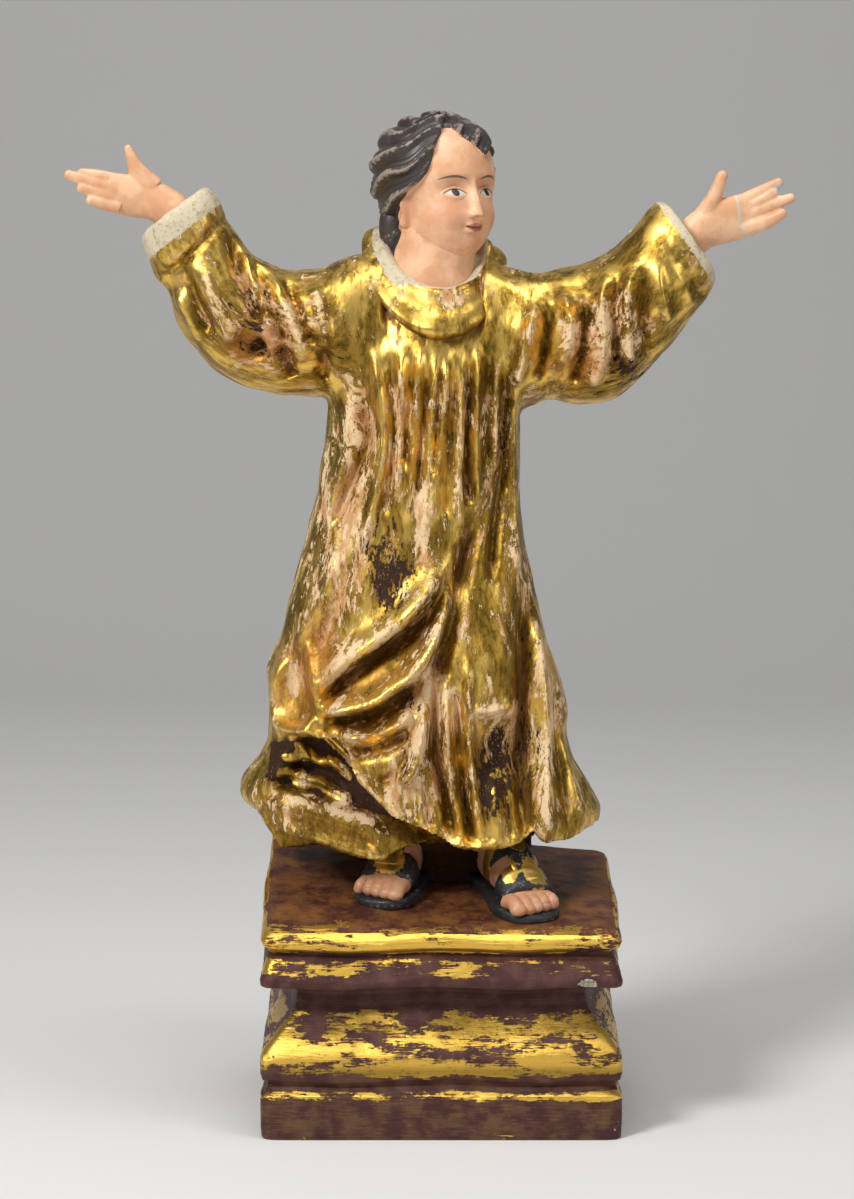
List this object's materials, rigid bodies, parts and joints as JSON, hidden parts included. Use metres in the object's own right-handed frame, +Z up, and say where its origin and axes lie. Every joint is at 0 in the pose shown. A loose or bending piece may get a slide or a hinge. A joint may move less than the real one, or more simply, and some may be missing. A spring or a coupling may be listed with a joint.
{
  "type": "carved wooden devotional statue on a plinth",
  "caption": "Carved, painted and gilded wooden figure of the infant Jesus with raised open arms, standing on its own moulded plinth.",
  "frame": {"origin": "middle of the plinth's underside", "axes": "+Z up, the figure's front faces -Y, its left hand is towards +X"},
  "size_m": [0.4088, 0.152, 0.575],
  "materials": {
    "gilded_wood": "satin",
    "painted_skin": "satin",
    "plinth_paint": "satin"
  },
  "bodies": {
    "root": {"figure": "gilded_wood", "right_hand": "painted_skin", "left_hand": "painted_skin", "plinth": "plinth_paint"}
  },
  "joints": []
}
